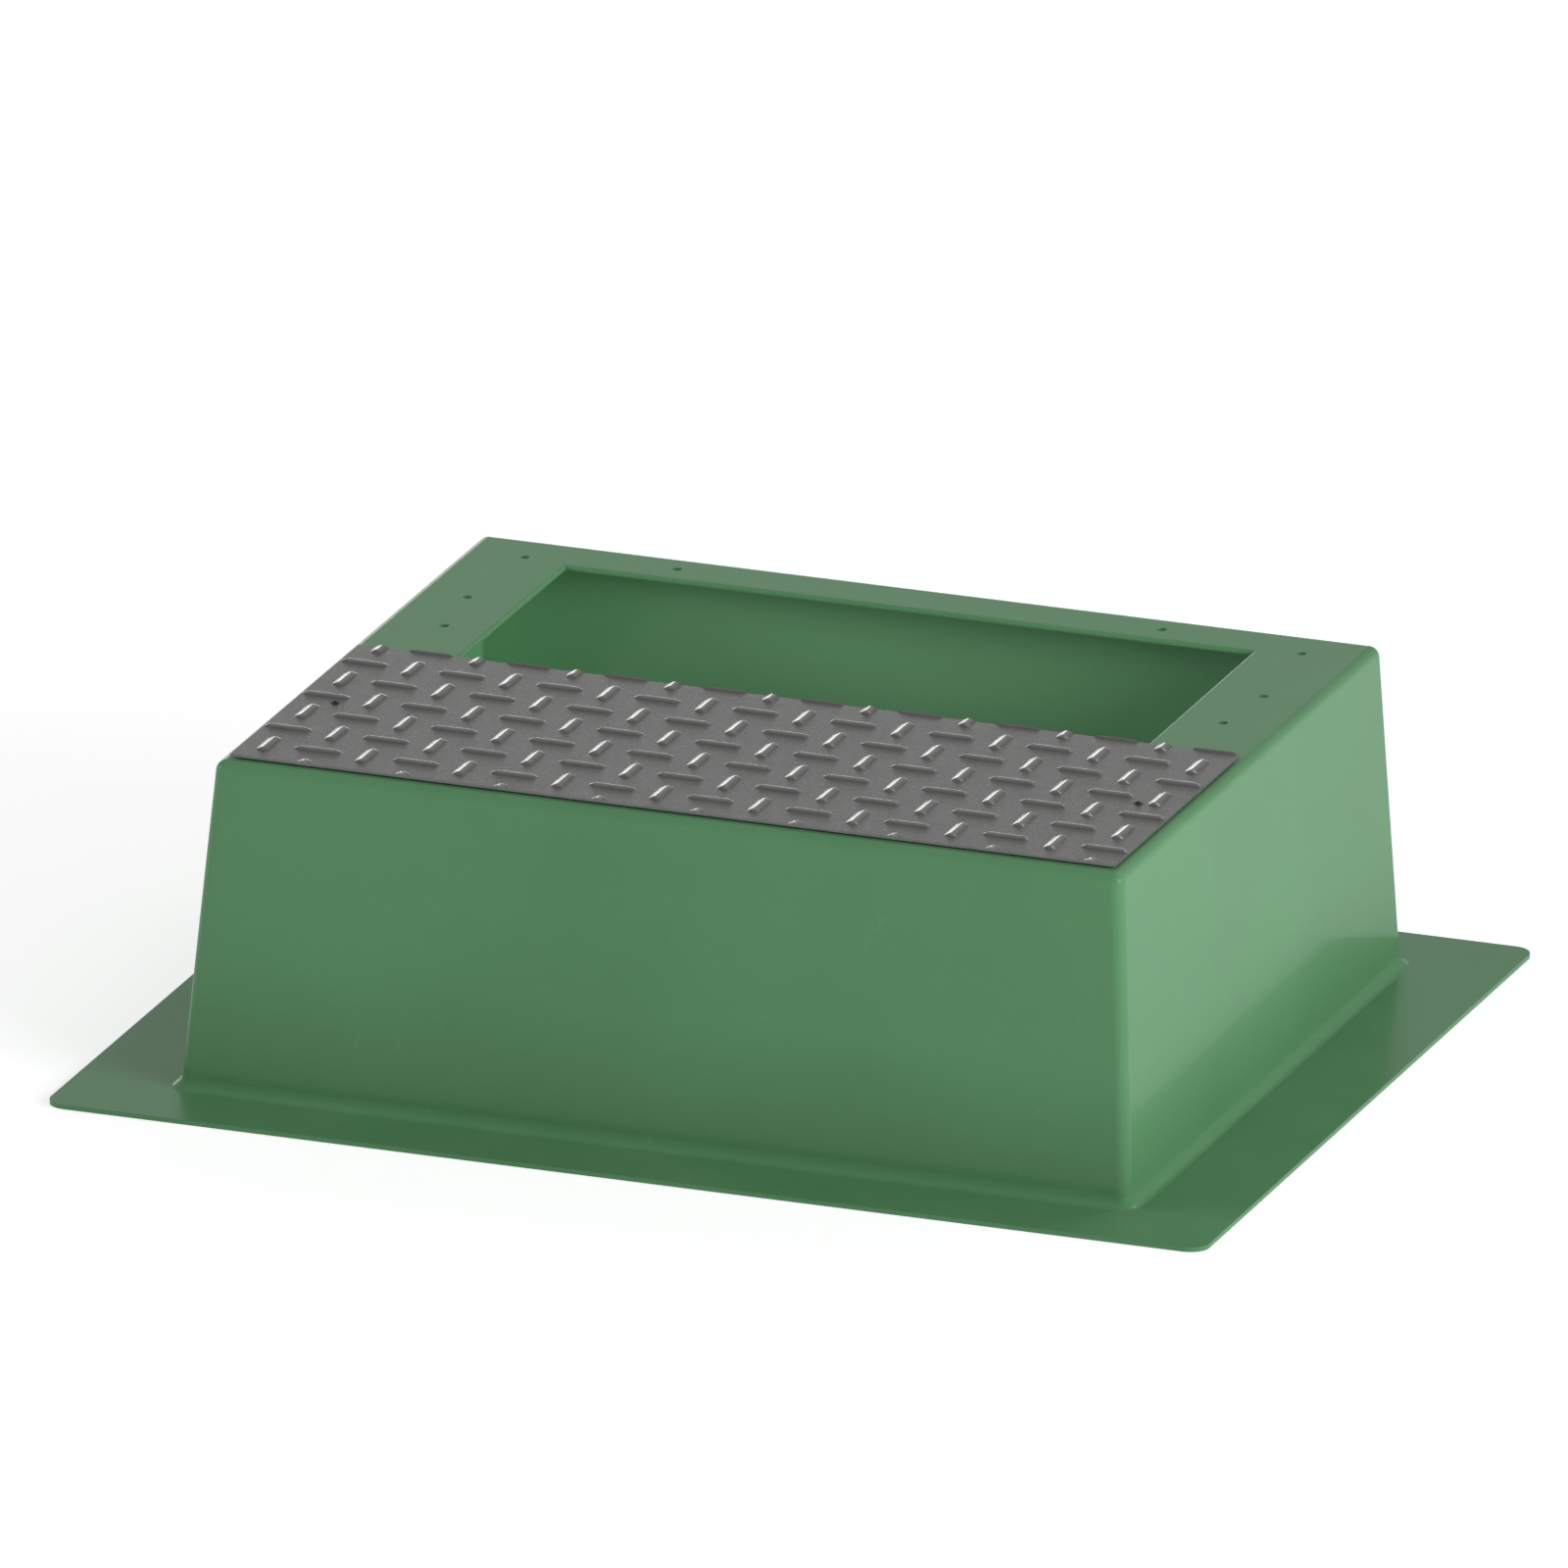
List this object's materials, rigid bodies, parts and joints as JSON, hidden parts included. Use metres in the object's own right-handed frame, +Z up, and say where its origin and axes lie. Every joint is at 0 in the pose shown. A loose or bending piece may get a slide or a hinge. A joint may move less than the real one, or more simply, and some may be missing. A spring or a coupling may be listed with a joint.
{
  "type": "cabinet ground plinth",
  "caption": "Moulded tapered ground plinth for an outdoor cabinet, with a wide ground flange, a rectangular cable opening and a screwed tread-plate cover over its front half.",
  "frame": {"origin": "on the ground, under the middle of the plinth's footprint", "axes": "+X to the right along the front, +Y from the covered front to the rear, +Z up"},
  "size_m": [1.277, 1.094, 0.368],
  "materials": {
    "green_gelcoat": "glossy green gelcoat on glass-fibre laminate",
    "tread_metal": "satin mill-finish tread plate",
    "dark_screw": "black oxide",
    "galvanised_steel": "hot-dip galvanised",
    "zinc_fastener": "bright zinc plate",
    "seal_rubber": "closed-cell sealing strip"
  },
  "bodies": {
    "plinth": {"plinth_shell": "green_gelcoat", "cover_nut_left": "zinc_fastener", "cover_nut_right": "zinc_fastener", "seal_strip_front": "seal_rubber", "seal_strip_rear": "seal_rubber", "seal_strip_left": "seal_rubber", "seal_strip_right": "seal_rubber", "spreader_bar_left": "galvanised_steel", "spreader_bar_right": "galvanised_steel", "spreader_bar_rear": "galvanised_steel", "cover_rail": "galvanised_steel", "rail_cleat_left": "galvanised_steel", "rail_cleat_right": "galvanised_steel", "rail_bolts_left": "zinc_fastener", "rail_bolts_right": "zinc_fastener", "rail_nuts_left": "zinc_fastener", "rail_nuts_right": "zinc_fastener", "cleat_bolts_left": "zinc_fastener", "cleat_bolts_right": "zinc_fastener", "cleat_nuts_left": "zinc_fastener", "cleat_nuts_right": "zinc_fastener"},
    "cover": {"tread_cover": "tread_metal"},
    "screw_left": {"cover_screw_left": "dark_screw"},
    "screw_right": {"cover_screw_right": "dark_screw"}
  },
  "joints": [
    {"name": "cover_lift", "type": "slide", "parent": "plinth", "child": "cover", "axis": [0, 0, 1], "range_m": [0, 0.35]},
    {"name": "screw_left_out", "type": "slide", "parent": "cover", "child": "screw_left", "axis": [0, 0, 1], "range_m": [0, 0.03]},
    {"name": "screw_right_out", "type": "slide", "parent": "cover", "child": "screw_right", "axis": [0, 0, 1], "range_m": [0, 0.03]}
  ]
}
